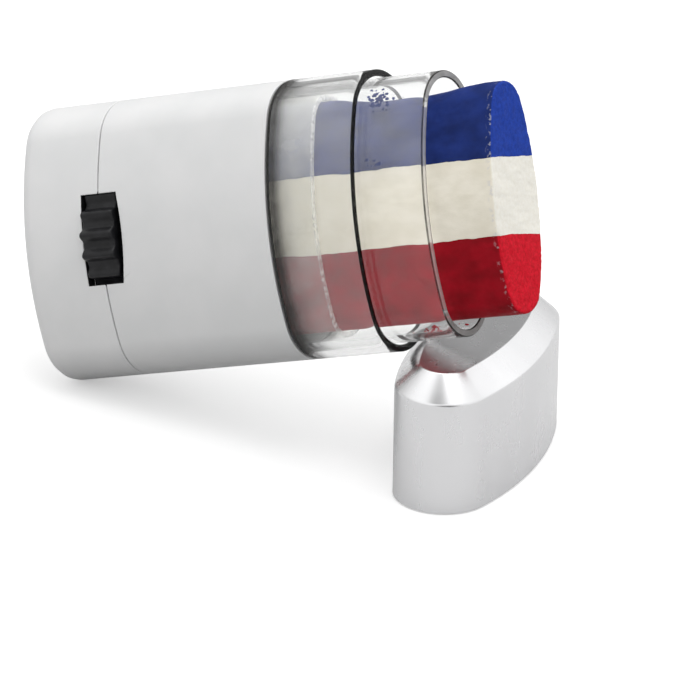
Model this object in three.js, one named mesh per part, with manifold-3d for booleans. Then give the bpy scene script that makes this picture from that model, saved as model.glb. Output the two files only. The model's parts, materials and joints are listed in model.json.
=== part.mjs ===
// A push-up colour stick: an oval barrel with a side dial, an elevator that carries three bars of
// colour, and a pull-off cap. The stick leans on its own cap, which stands on its open rim.
//
// Lengths are millimetres. Each stick piece is drawn upright: Z runs along the barrel from the base
// face (0), X across the wide side of the oval, Y across the thin side, towards the dial window.
import * as THREE from 'three';
import { mergeVertices } from 'three/addons/utils/BufferGeometryUtils.js';
import Module from 'manifold-3d';

const wasm = await Module();
wasm.setup();

// ---- driving dimensions ---------------------------------------------------------------------

// Oval outline: two broad arcs joined by two end arcs
const WIDTH = 40;
const THICK = 18.2;
const BROAD_RADIUS = 50;

const GAP = 0.25; // clearance between nested shells
const RUN = 0.3; // clearance of everything that turns or slides

// Heights along the barrel
const SEAM = 14.9; // joint between base cup and sleeve
const SLEEVE_TOP = 44.75;
const COLLAR_TOP = 59.8;
const NECK_TOP = 71.1;
const SEAM_GAP = 0.2;

// Shell walls
const BASE_FLOOR = 1.6;
const BASE_WALL = 1.5;
const BASE_FILLET = 2.5;
const SLEEVE_WALL = 1.0;
const SPIGOT_LENGTH = 5;
const SPIGOT_WALL = 1.0;
const BARREL_WALL = 1.05;
const BARREL_FLOOR = 1.5;
const EDGE = 0.25; // small edge radius on rims
const OVERRUN = 1; // how far a cutting shape passes the face it opens
const BLEND = 0.5; // how far joined shapes sink into each other

// Dial and lead screw
const DIAL_BOTTOM = 12.1;
const DIAL_TOP = 17.8;
const DIAL_RADIUS = 10.55;
const DIAL_RIBS = 21;
const RIB_RADIUS = 0.75;
const RIB_STAND = 0.85; // rib crest above the flat between ribs
const DIAL_BEVEL = 0.35;
const DIAL_PHASE = 4.2; // degrees from +Y towards +X to the nearest rib
const WINDOW_HALF = 6.6;
const WINDOW_BOW = 0.8; // the window's neck-side edge bows this far towards the neck in its middle
const KEY_SIDE = 4.4;
const PIVOT_RADIUS = 1.6;
const PIVOT_TOP = 14.4;
const BOSS_RADIUS = 3.4;
const SHAFT_RADIUS = 3.2;
const FLANGE_RADIUS = 5;
const FLANGE_THICK = 1;
const LEAD = 3;
const THREAD_ROOT = 2.7;
const THREAD_CREST = 3.5;
const SCREW_TOP = 56;

// Elevator and colour bars, at the height they are wound out to
const RETRACT = 12;
const ELEVATOR_GAP = 0.4;
const SKIRT_WALL = 0.7;
const SKIRT_TOP = 51.6;
const NUT_LENGTH = 7;
const NUT_RADIUS = 5.3;
const PLATFORM = 1.4;
const BAR_TOP = 81.2;
const BAR_EDGE = 0.3;
const BAR_GAP = 0.1;
const BAND_SHIFT = 0.2; // the colour joints sit this far towards +X of even thirds
const BAR_BORE = 4;

// Cap
const CAP_SHOULDER = 16.7;
const CAP_TOP = 20.05;
const CAP_CHAMFER = 3.5;
const CAP_SHELL = 0.4;
const CAP_NEST = 0.1; // play between shell and liner
const LINER_WALL = 0.5;

// Resting place of the stick and the cap
const PITCH = 18.4; // barrel axis above the table, degrees
const LEAN = 17.2; // oval tipped back about the barrel axis, degrees
const CAP_X = 69.3; // cap centre from the base face's centre
const CAP_Y = 3.9;
const CAP_TURN = 99.3; // cap's wide side from +X, degrees

// ---- shape helpers --------------------------------------------------------------------------

const AXIS = null; // stands for the centre line in a profile
const END_STEPS = 16;
const BROAD_STEPS = 8;
const ROUND_STEPS = 32;
const THREAD_STEPS = 20;
const RIB_STEPS = 4;
const FILLET_STEPS = 4;
const BOW_STEPS = 12;

// Closed oval, moved inwards by inset, anticlockwise from the +X end
function oval(inset) {
  const a = WIDTH / 2;
  const b = THICK / 2;
  const rise = BROAD_RADIUS - b;
  const endRadius = (BROAD_RADIUS ** 2 - a ** 2 - rise ** 2) / (2 * (BROAD_RADIUS - a));
  const meet = Math.atan2(rise, a - endRadius);
  const arc = (x, y, radius, from, to, steps) => {
    const curve = new THREE.ArcCurve(x, y, radius - inset, from, to, false);
    return curve.getPoints(steps).slice(0, -1);
  };
  const right = arc(a - endRadius, 0, endRadius, -meet, meet, END_STEPS);
  const front = arc(0, -rise, BROAD_RADIUS, meet, Math.PI - meet, BROAD_STEPS);
  const turned = [...right, ...front].map((p) => p.clone().negate());
  return [...right, ...front, ...turned];
}

function circle(radius) {
  return new THREE.ArcCurve(0, 0, radius, 0, 2 * Math.PI, false).getPoints(ROUND_STEPS).slice(0, -1);
}

// Solid through a profile of [size, height] pairs, one outline for each pair. The profile climbs on
// the outside. It starts and ends on the axis, or closes on itself.
function loft(outlineOf, profile) {
  const positions = [];
  const rings = profile.map(([size, z]) => {
    const outline = size === AXIS ? [new THREE.Vector2()] : outlineOf(size);
    const start = positions.length / 3;
    outline.forEach((p) => positions.push(p.x, p.y, z));
    return { start, count: outline.length };
  });
  const index = [];
  const onAxis = rings[0].count === 1;
  const spans = onAxis ? rings.length - 1 : rings.length;
  for (let i = 0; i < spans; i += 1) {
    const low = rings[i];
    const high = rings[(i + 1) % rings.length];
    const count = Math.max(low.count, high.count);
    for (let j = 0; j < count; j += 1) {
      const k = (j + 1) % count;
      if (low.count > 1) {
        index.push(low.start + j, low.start + k, high.start + (high.count > 1 ? k : 0));
      }
      if (high.count > 1) {
        index.push(low.start + (low.count > 1 ? j : 0), high.start + k, high.start + j);
      }
    }
  }
  const geometry = new THREE.BufferGeometry();
  geometry.setAttribute('position', new THREE.Float32BufferAttribute(positions, 3));
  geometry.setIndex(index);
  return geometry;
}

function toSolid(geometry) {
  const bare = geometry.clone();
  bare.deleteAttribute('normal');
  bare.deleteAttribute('uv');
  const merged = mergeVertices(bare, 1e-4);
  const vertProperties = new Float32Array(merged.attributes.position.array);
  const triVerts = new Uint32Array(merged.index.array);
  return new wasm.Manifold(new wasm.Mesh({ numProp: 3, vertProperties, triVerts }));
}

function toGeometry(solid) {
  const { vertProperties, triVerts } = solid.getMesh();
  const geometry = new THREE.BufferGeometry();
  geometry.setAttribute('position', new THREE.BufferAttribute(vertProperties, 3));
  geometry.setIndex(new THREE.BufferAttribute(triVerts, 1));
  return geometry;
}

function rod(radius, bottom, top) {
  const profile = [[AXIS, bottom], [radius, bottom], [radius, top], [AXIS, top]];
  return toSolid(loft(circle, profile));
}

// Box from x0 to x1, centred on the axis in Y
function block(sizeY, bottom, top, x0, x1) {
  const box = new THREE.BoxGeometry(x1 - x0, sizeY, top - bottom);
  box.translate((x0 + x1) / 2, 0, (bottom + top) / 2);
  return toSolid(box);
}

// Rod with a right-hand thread. Knots are [fraction of the lead, radius] pairs. Every row of
// vertices climbs one lead in a turn, so the rows follow the flanks.
function threadedRod(knots, bottom, top) {
  const steps = THREAD_STEPS;
  const turns = Math.ceil((top - bottom) / LEAD) + 3;
  const rows = turns * knots.length;
  const start = (Math.floor(bottom / LEAD) - 1) * LEAD;
  const positions = [];
  for (let row = 0; row <= rows; row += 1) {
    const [fraction, radius] = knots[row % knots.length];
    const base = start + (Math.floor(row / knots.length) + fraction) * LEAD;
    for (let i = 0; i < steps; i += 1) {
      const angle = (2 * Math.PI * i) / steps;
      const z = base + (LEAD * i) / steps;
      positions.push(radius * Math.cos(angle), radius * Math.sin(angle), z);
    }
  }
  // The last column of a row joins the first column one lead higher
  const at = (row, i) => (i < steps ? row * steps + i : (row + knots.length) * steps);
  const last = rows - knots.length;
  const index = [];
  for (let row = 0; row < last; row += 1) {
    for (let i = 0; i < steps; i += 1) {
      index.push(at(row, i), at(row, i + 1), at(row + 1, i + 1));
      index.push(at(row, i), at(row + 1, i + 1), at(row + 1, i));
    }
  }
  // Both ends close with a fan over the open edge: one turn of the helix and the step down
  const fan = (row, z, flip) => {
    const centre = positions.length / 3;
    positions.push(0, 0, z);
    const edge = [];
    for (let i = 0; i <= steps; i += 1) {
      edge.push(at(row, i));
    }
    for (let k = knots.length - 1; k > 0; k -= 1) {
      edge.push(at(row + k, 0));
    }
    edge.forEach((from, i) => {
      const to = edge[(i + 1) % edge.length];
      index.push(...(flip ? [centre, to, from] : [centre, from, to]));
    });
  };
  fan(0, start + LEAD / 2, true);
  fan(last, start + (last / knots.length) * LEAD + LEAD / 2, false);
  const geometry = new THREE.BufferGeometry();
  geometry.setAttribute('position', new THREE.Float32BufferAttribute(positions, 3));
  geometry.setIndex(index);
  return toSolid(geometry).intersect(rod(THREAD_CREST + OVERRUN, bottom, top));
}

// Quarter-round profile points from the flat face to the wall, at the bottom outer edge
function bottomFillet(radius, z) {
  return Array.from({ length: FILLET_STEPS + 1 }, (_, i) => {
    const angle = (Math.PI / 2) * (1 - i / FILLET_STEPS);
    return [radius * (1 - Math.cos(angle)), z + radius * (1 - Math.sin(angle))];
  });
}

// Window through both broad sides. Its neck-side edge is a shallow bow.
function windowSlot(bottom, top) {
  const bow = Array.from({ length: BOW_STEPS + 1 }, (_, i) => {
    const across = 1 - (2 * i) / BOW_STEPS;
    return new THREE.Vector2(WINDOW_HALF * across, top + WINDOW_BOW * (1 - across ** 2));
  });
  const foot = [new THREE.Vector2(-WINDOW_HALF, bottom), new THREE.Vector2(WINDOW_HALF, bottom)];
  const depth = THICK + 2 * OVERRUN;
  const slot = new THREE.ExtrudeGeometry(new THREE.Shape([...foot, ...bow]), {
    depth,
    steps: 1,
    bevelEnabled: false,
  });
  slot.translate(0, 0, -depth / 2);
  slot.rotateX(Math.PI / 2);
  return toSolid(slot);
}

// Room for the dial: a round pocket that the dial turns in, and the window
function cutDialRoom(solid) {
  const bottom = DIAL_BOTTOM - RUN;
  const top = DIAL_TOP + RUN;
  const pocket = rod(DIAL_RADIUS + RUN, bottom, top);
  return solid.subtract(pocket).subtract(windowSlot(bottom, top));
}

// ---- shells ---------------------------------------------------------------------------------

function baseCup() {
  const top = SEAM - SEAM_GAP / 2;
  const outer = bottomFillet(BASE_FILLET, 0);
  const inner = [[0, top], [BASE_WALL, top], [BASE_WALL, BASE_FLOOR], [AXIS, BASE_FLOOR]];
  const cup = toSolid(loft(oval, [[AXIS, 0], ...outer, ...inner]));
  const boss = rod(BOSS_RADIUS, BASE_FLOOR - BLEND, DIAL_BOTTOM - RUN);
  const pivot = rod(PIVOT_RADIUS, BASE_FLOOR, PIVOT_TOP);
  return cutDialRoom(cup).add(boss).add(pivot);
}

function barrelSleeve() {
  const bottom = SEAM + SEAM_GAP / 2;
  const ledge = DIAL_TOP;
  const spigotOut = BASE_WALL + GAP;
  const spigotIn = spigotOut + SPIGOT_WALL;
  const spigotBottom = bottom - SPIGOT_LENGTH;
  const tube = toSolid(loft(oval, [
    [spigotIn, ledge],
    [spigotIn, spigotBottom],
    [spigotOut, spigotBottom],
    [spigotOut, bottom],
    [0, bottom],
    [0, SLEEVE_TOP - EDGE],
    [EDGE, SLEEVE_TOP],
    [SLEEVE_WALL, SLEEVE_TOP],
    [SLEEVE_WALL, ledge],
  ]));
  return cutDialRoom(tube);
}

function clearCollar() {
  const bottom = SLEEVE_TOP + SEAM_GAP;
  return toSolid(loft(oval, [
    [SLEEVE_WALL, bottom],
    [EDGE, bottom],
    [0, bottom + EDGE],
    [0, COLLAR_TOP - EDGE],
    [EDGE, COLLAR_TOP],
    [SLEEVE_WALL, COLLAR_TOP],
  ]));
}

const BARREL_OUT = SLEEVE_WALL + GAP;
const BARREL_IN = BARREL_OUT + BARREL_WALL;
const BARREL_BOTTOM = DIAL_TOP + RUN;

function clearBarrel() {
  const barrel = toSolid(loft(oval, [
    [AXIS, BARREL_BOTTOM],
    [BARREL_OUT, BARREL_BOTTOM],
    [BARREL_OUT, NECK_TOP - EDGE],
    [BARREL_OUT + EDGE, NECK_TOP],
    [BARREL_IN - EDGE, NECK_TOP],
    [BARREL_IN, NECK_TOP - EDGE],
    [BARREL_IN, BARREL_BOTTOM + BARREL_FLOOR],
    [AXIS, BARREL_BOTTOM + BARREL_FLOOR],
  ]));
  const floorTop = BARREL_BOTTOM + BARREL_FLOOR;
  const bearing = rod(SHAFT_RADIUS + RUN, BARREL_BOTTOM - OVERRUN, floorTop + OVERRUN);
  return barrel.subtract(bearing);
}

// ---- dial and lead screw --------------------------------------------------------------------

// One rounded rib and the flat that follows it, repeated round the rim
function dialOutline() {
  const centre = DIAL_RADIUS - RIB_RADIUS;
  const sink = RIB_RADIUS - RIB_STAND;
  const reach = Math.acos(sink / RIB_RADIUS);
  const first = Math.PI / 2 - THREE.MathUtils.degToRad(DIAL_PHASE);
  const points = [];
  for (let rib = 0; rib < DIAL_RIBS; rib += 1) {
    const turn = first + (2 * Math.PI * rib) / DIAL_RIBS;
    for (let i = 0; i <= RIB_STEPS; i += 1) {
      const around = turn + reach * ((2 * i) / RIB_STEPS - 1);
      const x = centre * Math.cos(turn) + RIB_RADIUS * Math.cos(around);
      const y = centre * Math.sin(turn) + RIB_RADIUS * Math.sin(around);
      points.push(new THREE.Vector2(x, y));
    }
  }
  return points;
}

function thumbwheel() {
  const wheel = new THREE.ExtrudeGeometry(new THREE.Shape(dialOutline()), {
    depth: DIAL_TOP - DIAL_BOTTOM - 2 * DIAL_BEVEL,
    steps: 1,
    bevelEnabled: true,
    bevelThickness: DIAL_BEVEL,
    bevelSize: DIAL_BEVEL,
    bevelOffset: -DIAL_BEVEL,
    bevelSegments: 1,
  });
  wheel.translate(0, 0, DIAL_BOTTOM + DIAL_BEVEL);
  const pivotHole = rod(PIVOT_RADIUS + RUN, DIAL_BOTTOM - OVERRUN, PIVOT_TOP + RUN);
  const socket = KEY_SIDE / 2 + RUN;
  const keyHole = block(2 * socket, PIVOT_TOP, DIAL_TOP + OVERRUN, -socket, socket);
  return toSolid(wheel).subtract(pivotHole).subtract(keyHole);
}

const FLANGE_BOTTOM = BARREL_BOTTOM + BARREL_FLOOR + RUN;
const FLANGE_TOP = FLANGE_BOTTOM + FLANGE_THICK;

function leadScrew() {
  const half = KEY_SIDE / 2;
  const key = block(KEY_SIDE, PIVOT_TOP + 2 * RUN, BARREL_BOTTOM + BLEND, -half, half);
  const shaft = rod(SHAFT_RADIUS, BARREL_BOTTOM, FLANGE_TOP);
  const flange = rod(FLANGE_RADIUS, FLANGE_BOTTOM, FLANGE_TOP);
  const knots = [[0, THREAD_ROOT], [0.42, THREAD_ROOT], [0.6, THREAD_CREST], [0.82, THREAD_CREST]];
  const thread = threadedRod(knots, FLANGE_TOP - BLEND, SCREW_TOP);
  return thread.add(flange).add(shaft).add(key);
}

// ---- elevator and colour bars ---------------------------------------------------------------

const SKIRT_OUT = BARREL_IN + ELEVATOR_GAP;
const SKIRT_IN = SKIRT_OUT + SKIRT_WALL;
const BAR_INSET = SKIRT_IN + RUN;
const NUT_BOTTOM = FLANGE_TOP + 2 * RUN + RETRACT;
const PLATFORM_BOTTOM = NUT_BOTTOM + NUT_LENGTH;
const BAR_BOTTOM = PLATFORM_BOTTOM + PLATFORM + RUN;

function elevatorCup() {
  const cup = toSolid(loft(oval, [
    [AXIS, PLATFORM_BOTTOM],
    [SKIRT_OUT, PLATFORM_BOTTOM],
    [SKIRT_OUT, SKIRT_TOP],
    [SKIRT_IN, SKIRT_TOP],
    [SKIRT_IN, PLATFORM_BOTTOM + PLATFORM],
    [AXIS, PLATFORM_BOTTOM + PLATFORM],
  ]));
  const nut = rod(NUT_RADIUS, NUT_BOTTOM, PLATFORM_BOTTOM + PLATFORM / 2);
  const inside = THREAD_ROOT + RUN;
  const outside = THREAD_CREST + RUN;
  const knots = [[0.12, inside], [0.3, inside], [0.48, outside], [0.94, outside]];
  const thread = threadedRod(knots, NUT_BOTTOM - OVERRUN, BAR_BOTTOM);
  return cup.add(nut).subtract(thread);
}

function colourBar(from, to) {
  const bar = toSolid(loft(oval, [
    [AXIS, BAR_BOTTOM],
    [BAR_INSET, BAR_BOTTOM],
    [BAR_INSET, BAR_TOP - BAR_EDGE],
    [BAR_INSET + BAR_EDGE, BAR_TOP],
    [AXIS, BAR_TOP],
  ]));
  const bore = rod(BAR_BORE, BAR_BOTTOM - OVERRUN, SCREW_TOP + RETRACT + 2 * RUN);
  const share = block(THICK, BAR_BOTTOM - OVERRUN, BAR_TOP + OVERRUN, from, to);
  return bar.subtract(bore).intersect(share);
}

const BAND_HALF = (WIDTH / 2 - BAR_INSET) / 3;
const BAND_HIGH = BAND_SHIFT + BAND_HALF;
const BAND_LOW = BAND_SHIFT - BAND_HALF;
const BLUE_FROM = BAND_HIGH + BAR_GAP / 2;
const WHITE_TO = BAND_HIGH - BAR_GAP / 2;
const WHITE_FROM = BAND_LOW + BAR_GAP / 2;
const RED_TO = BAND_LOW - BAR_GAP / 2;

// ---- cap ------------------------------------------------------------------------------------

// Profile of the cap's chamfered wall, moved inwards by inset, from the rim to the crown
function capWall(inset, rim) {
  const mitre = inset * Math.tan(Math.PI / 8);
  return [
    [inset, rim],
    [inset, CAP_SHOULDER - mitre],
    [CAP_CHAMFER + mitre, CAP_TOP - inset],
    [AXIS, CAP_TOP - inset],
  ];
}

function capLayer(outset, wall, rim) {
  const inside = capWall(outset + wall, rim).reverse();
  return toSolid(loft(oval, [...inside, ...capWall(outset, rim)]));
}

// ---- assembly -------------------------------------------------------------------------------

function material(colour, roughness, metalness, opacity = 1) {
  const look = { color: colour, roughness, metalness, opacity, transparent: opacity < 1 };
  return new THREE.MeshStandardMaterial(look);
}

function piece(name, solid, look) {
  const mesh = new THREE.Mesh(toGeometry(solid), look);
  mesh.name = name;
  return mesh;
}

const whitePlastic = material(0xe4e4e4, 0.4, 0);
const clearPlastic = material(0xf2f4f4, 0.08, 0, 0.3);
const blackPlastic = material(0x1b1c1e, 0.45, 0);
const naturalPlastic = material(0xdedbd2, 0.4, 0, 0.8);
const satinSilver = material(0xc4c5c6, 0.3, 1);
const blueWax = material(0x2a3c9c, 0.6, 0);
const whiteWax = material(0xf1ece0, 0.6, 0);
const redWax = material(0xc01828, 0.6, 0);

const stick = new THREE.Group();
stick.add(
  piece('base_cup', baseCup(), whitePlastic),
  piece('barrel_sleeve', barrelSleeve(), whitePlastic),
  piece('clear_collar', clearCollar(), clearPlastic),
  piece('clear_barrel', clearBarrel(), clearPlastic),
  piece('thumbwheel', thumbwheel(), blackPlastic),
  piece('lead_screw', leadScrew(), whitePlastic),
  piece('elevator_cup', elevatorCup(), naturalPlastic),
  piece('colour_bar_blue', colourBar(BLUE_FROM, WIDTH / 2), blueWax),
  piece('colour_bar_white', colourBar(WHITE_FROM, WHITE_TO), whiteWax),
  piece('colour_bar_red', colourBar(-WIDTH / 2, RED_TO), redWax),
);

const cap = new THREE.Group();
cap.add(
  piece('cap_shell', capLayer(0, CAP_SHELL, 0), satinSilver),
  piece('cap_liner', capLayer(CAP_SHELL + CAP_NEST, LINER_WALL, RUN), whitePlastic),
);

// Barrel axis in the XZ plane, rising by PITCH; the oval's wide side leans back by LEAN
const pitch = THREE.MathUtils.degToRad(PITCH);
const lean = THREE.MathUtils.degToRad(LEAN);
const along = new THREE.Vector3(Math.cos(pitch), 0, Math.sin(pitch));
const level = new THREE.Vector3(0, 1, 0);
const upright = new THREE.Vector3().crossVectors(along, level);
const wide = upright.clone().multiplyScalar(Math.cos(lean)).addScaledVector(level, Math.sin(lean));
const thin = new THREE.Vector3().crossVectors(along, wide);
stick.quaternion.setFromRotationMatrix(new THREE.Matrix4().makeBasis(wide, thin, along));
stick.position.z = -new THREE.Box3().setFromObject(stick, true).min.z;

cap.position.set(CAP_X, CAP_Y, 0);
cap.rotation.z = THREE.MathUtils.degToRad(CAP_TURN);

// Origin on the table, under the middle of the whole arrangement
const group = new THREE.Group();
group.add(stick, cap);
const middle = new THREE.Box3().setFromObject(group, true).getCenter(new THREE.Vector3());
group.position.set(-middle.x, -middle.y, 0);

export default group;
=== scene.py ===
import json
import math
import random

import bmesh
import bpy
import numpy as np
from mathutils import Matrix, Vector, noise


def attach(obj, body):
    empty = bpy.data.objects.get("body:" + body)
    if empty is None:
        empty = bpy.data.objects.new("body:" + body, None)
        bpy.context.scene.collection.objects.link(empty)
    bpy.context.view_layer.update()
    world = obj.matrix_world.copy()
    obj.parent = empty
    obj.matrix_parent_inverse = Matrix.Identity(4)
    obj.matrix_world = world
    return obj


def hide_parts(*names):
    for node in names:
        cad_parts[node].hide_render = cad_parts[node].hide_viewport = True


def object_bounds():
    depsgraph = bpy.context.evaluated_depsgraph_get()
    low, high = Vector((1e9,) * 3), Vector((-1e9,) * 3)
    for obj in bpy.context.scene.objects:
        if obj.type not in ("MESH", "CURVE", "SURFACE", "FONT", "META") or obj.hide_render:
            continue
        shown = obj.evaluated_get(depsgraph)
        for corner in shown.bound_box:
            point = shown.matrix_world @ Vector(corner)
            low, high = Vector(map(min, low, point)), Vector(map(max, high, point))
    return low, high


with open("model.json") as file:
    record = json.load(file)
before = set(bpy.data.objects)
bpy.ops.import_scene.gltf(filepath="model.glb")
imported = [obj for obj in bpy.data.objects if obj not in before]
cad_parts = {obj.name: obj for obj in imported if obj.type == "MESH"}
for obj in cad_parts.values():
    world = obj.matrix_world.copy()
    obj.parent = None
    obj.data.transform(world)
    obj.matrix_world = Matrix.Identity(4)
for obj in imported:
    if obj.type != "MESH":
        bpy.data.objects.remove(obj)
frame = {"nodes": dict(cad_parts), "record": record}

CAD_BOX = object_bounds()
MM = 0.001

# ---- shape constants, millimetres -----------------------------------------------------------

BROAD_RADIUS = 50.0
BASE_FILLET = 2.5
BASE_WALL = 1.5
BASE_FLOOR = 1.6
BASE_CORNER = 0.4     # fillet between the base cup's floor and wall
BOSS_RADIUS = 3.4
PIVOT_RADIUS = 1.6
PIVOT_STAND = 2.4
SEAM = 0.2            # open seam between the base cup and the sleeve
SPIGOT_GAP = 0.25
SPIGOT_WALL = 1.0
SLEEVE_WALL = 1.0
BARREL_WALL = 1.05
BARREL_FLOOR = 1.5
BEARING_RADIUS = 3.5
SKIRT_WALL = 0.7
PLATFORM = 1.4
NUT_RADIUS = 5.3
NUT_BORE = 3.85
RUN = 0.3
WINDOW_HALF = 6.6
WINDOW_BROW = 0.8     # how far the window's neck-side edge bows towards the neck
WINDOW_EDGE = 0.1     # edge radius of the window
RIM = 0.16            # small moulded edge radius
CORNER = 0.3          # fillet inside a moulding
LIP = 0.2             # edge radius of a thin lip
COLLAR_FOOT = 0.32    # edge radius at the collar's foot
DARK_WIDTH = 0.62     # width of the painted shade line on the collar's rim
DARK_DEPTH = 0.16     # how far that line reaches down
FOOT_DEPTH = 0.2      # height of the painted shade line at the collar's foot
EDGE_LINE = 0.24      # edge radius of the clear neck's rim
RIBS = 21
RIB_STAND = 0.9
RIB_HALF = 0.8 * 1.35  # half a rib's width at its foot
RIB_STEPS = 8         # points on each half of a rib
DIAL_EDGE = 0.45
DIAL_FACE = 1.4       # width of the dial's flat faces beside its ribs
HUB_BORE = 3.2
BAR_BORE = 4.0
BORE_SPARE = 12.5     # room over the screw inside the white bar
CAP_CHAMFER = 3.5
CAP_SLOPE = 43.7      # degrees, the shoulder's slope
CAP_FACE = 1.5        # width of the flat top's first ring
CAP_CROWN = 0.3       # edge radius round the flat top
CAP_SHOULDER = 0.75   # edge radius below the shoulder
CAP_SHELL = 0.4
LINER_WALL = 0.5

END_STEPS = 44
BROAD_STEPS = 36
POCKET_STEPS = 96
BROW_STEPS = 24
STEP = 1.6            # longest straight piece of wall between two rings
NEAR = 0.02           # how far off a point may lie and still count as on a face


# ---- places ---------------------------------------------------------------------------------

TIP_BAND = 1e-5       # m, how far short of the farthest point a tip's other points may be


def mount(name):
    found = next(m for m in frame["record"]["mounts"] if m["name"] == name)
    return Vector(found["pos_m"]), Vector(found["axis"]).normalized()


def vertices(node):
    return np.array([v.co for v in frame["nodes"][node].data.vertices], float)


def place_from(origin, up, node):
    """Matrix of a place at origin with Z along up and X towards the node's highest far tip."""
    away = vertices(node) - np.array(origin)
    level = away - np.outer(away @ np.array(up), np.array(up))
    reach = np.linalg.norm(level, axis=1)
    tips = level[reach > reach.max() - TIP_BAND]
    tip = tips[np.argmax(tips @ np.array((0.0, 0.1, 1.0)))]
    x = Vector(tip).normalized()
    turn = Matrix((x, up.cross(x), up)).transposed()
    return Matrix.Translation(origin) @ turn.to_4x4()


BASE_POINT, BASE_OUT = mount("base_face")
CAP_POINT, CAP_UP = mount("cap_top_face")
STICK = place_from(BASE_POINT, -BASE_OUT, "base_cup")
CAP = place_from(CAP_POINT - CAP_UP * CAP_POINT.z, CAP_UP, "cap_shell")


def local(node, place):
    """The CAD node's vertices in a place, in millimetres."""
    inverse = np.array(place.inverted())
    points = vertices(node)
    return (points @ inverse[:3, :3].T + inverse[:3, 3]) / MM


def span(node, place=STICK):
    points = local(node, place)
    return points.min(0), points.max(0)


BASE_HI = span("base_cup")[1]
SLEEVE_LO, SLEEVE_HI = span("barrel_sleeve")
COLLAR_LO, COLLAR_HI = span("clear_collar")
BARREL_LO, BARREL_HI = span("clear_barrel")
DIAL_LO, DIAL_HI = span("thumbwheel")
CUP_LO, CUP_HI = span("elevator_cup")
BLUE_LO, BLUE_HI = span("colour_bar_blue")
WHITE_LO, WHITE_HI = span("colour_bar_white")
RED_HI = span("colour_bar_red")[1]
SCREW_HI = span("lead_screw")[1]
SHELL_LO, SHELL_HI = span("cap_shell", CAP)
LINER_LO, LINER_HI = span("cap_liner", CAP)

HALF_WIDE = BASE_HI[0]
HALF_THIN = BASE_HI[1]
SEAM_TOP = BASE_HI[2] + SEAM
BARREL_OUT = HALF_WIDE - BARREL_HI[0]
BARREL_IN = BARREL_OUT + BARREL_WALL
SKIRT_OUT = HALF_WIDE - CUP_HI[0]
SKIRT_IN = SKIRT_OUT + SKIRT_WALL
BAR_OUT = HALF_WIDE - BLUE_HI[0]
DIAL_RADIUS = max(DIAL_HI[0], DIAL_HI[1])
POCKET_LOW = DIAL_LO[2] - RUN
POCKET_HIGH = DIAL_HI[2] + RUN

# The broad arcs are centred RISE beyond the middle, the end arcs END_CENTRE along X, and the
# two kinds meet at the polar angle MEET.
RISE = BROAD_RADIUS - HALF_THIN
END_RADIUS = (BROAD_RADIUS ** 2 - HALF_WIDE ** 2 - RISE ** 2) / (2 * (BROAD_RADIUS - HALF_WIDE))
END_CENTRE = HALF_WIDE - END_RADIUS
MEET = math.atan2(RISE, END_CENTRE)


# ---- outlines and lofts ---------------------------------------------------------------------

def oval(inset):
    """Oval of two broad arcs and two end arcs, moved inwards by inset, anticlockwise from +X."""
    right = np.linspace(-MEET, MEET, END_STEPS, endpoint=False)
    front = np.linspace(MEET, math.pi - MEET, BROAD_STEPS, endpoint=False)
    end = END_RADIUS - inset
    broad = BROAD_RADIUS - inset
    right = np.c_[END_CENTRE + end * np.cos(right), end * np.sin(right)]
    front = np.c_[broad * np.cos(front), -RISE + broad * np.sin(front)]
    half = np.vstack([right, front])
    return np.vstack([half, -half])


POLAR = np.arctan2(*oval(0.0).T[::-1])


def inset_at(x, y):
    """How far inside the outer oval a point lies, in millimetres."""
    x, y = abs(x), abs(y)
    if math.atan2(y + RISE, x) < MEET:
        return END_RADIUS - math.hypot(x - END_CENTRE, y)
    return BROAD_RADIUS - math.hypot(x, y + RISE)


def disc(radius, angles=POLAR):
    """Circle whose points stand at an outline's polar angles, so that the two loft together."""
    return radius * np.c_[np.cos(angles), np.sin(angles)]


def circle_in(outline, radius):
    return disc(radius, np.arctan2(outline[:, 1], outline[:, 0]))


def rounded(corners, closed=False, steps=4):
    """Profile of (inset, z, radius) corners, each turned into an arc of its radius."""
    points = []
    for k, (x, z, radius) in enumerate(corners):
        here = np.array([x, z], float)
        if radius == 0 or (not closed and k in (0, len(corners) - 1)):
            points.append(here)
            continue
        back = np.array(corners[k - 1][:2]) - here
        ahead = np.array(corners[(k + 1) % len(corners)][:2]) - here
        back /= np.linalg.norm(back)
        ahead /= np.linalg.norm(ahead)
        half = math.acos(float(np.clip(back @ ahead, -1, 1))) / 2
        middle = (back + ahead) / np.linalg.norm(back + ahead)
        centre = here + middle * radius / math.sin(half)
        start = here + back * radius / math.tan(half) - centre
        side = here + ahead * radius / math.tan(half) - centre
        sweep = math.pi - 2 * half
        for i in range(steps + 1):
            t = i / steps
            mix = start * math.sin((1 - t) * sweep) + side * math.sin(t * sweep)
            points.append(centre + mix / math.sin(sweep))
    return points


def divided(points, closed=False):
    """The same profile with long straight stretches cut into pieces of at most STEP."""
    result = []
    ends = points[1:] + (points[:1] if closed else [])
    for here, there in zip(points, ends):
        pieces = max(1, math.ceil(abs(there[1] - here[1]) / STEP))
        result += [here + (there - here) * i / pieces for i in range(pieces)]
    return result if closed else result + [points[-1]]


def oval_rings(corners, closed=False):
    return [(oval(x), z) for x, z in divided(rounded(corners, closed), closed)]


def centre(z, x=0.0):
    return (np.array([[x, 0.0]]), z)


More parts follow.
